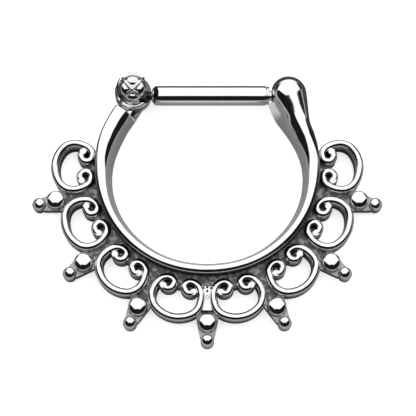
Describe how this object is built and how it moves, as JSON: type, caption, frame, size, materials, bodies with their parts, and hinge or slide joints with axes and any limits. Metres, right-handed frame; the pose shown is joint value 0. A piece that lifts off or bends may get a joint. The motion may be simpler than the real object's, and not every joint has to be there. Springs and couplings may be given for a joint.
{
  "type": "hinged septum ring",
  "caption": "Hinged septum ring: a cast steel horseshoe with a fan of open scrolls and beads, closed by a straight bar.",
  "frame": {"origin": "under the middle of the part's box, on the plane of its flat back", "axes": "+Z out of the ring's front face, +X along the bar from the hinge ball to the catch ball, +Y from the fan towards the bar"},
  "size_m": [0.0206, 0.0164, 0.0022],
  "materials": {
    "polished_steel": "mirror polished surgical steel, with darker unpolished recesses in the casting",
    "bar_steel": "mirror polished straight wire",
    "rivet_steel": "plain drawn wire"
  },
  "bodies": {
    "ring": {"filigree_ring": "polished_steel", "hinge_rivet": "rivet_steel"},
    "bar": {"hinge_bar": "bar_steel"}
  },
  "joints": [
    {"name": "bar_hinge", "type": "hinge", "parent": "ring", "child": "bar", "pos_m": [-0.00448, 0.00714, 0.00111], "axis": [0, 0, 1], "range_deg": [0, 100]}
  ]
}
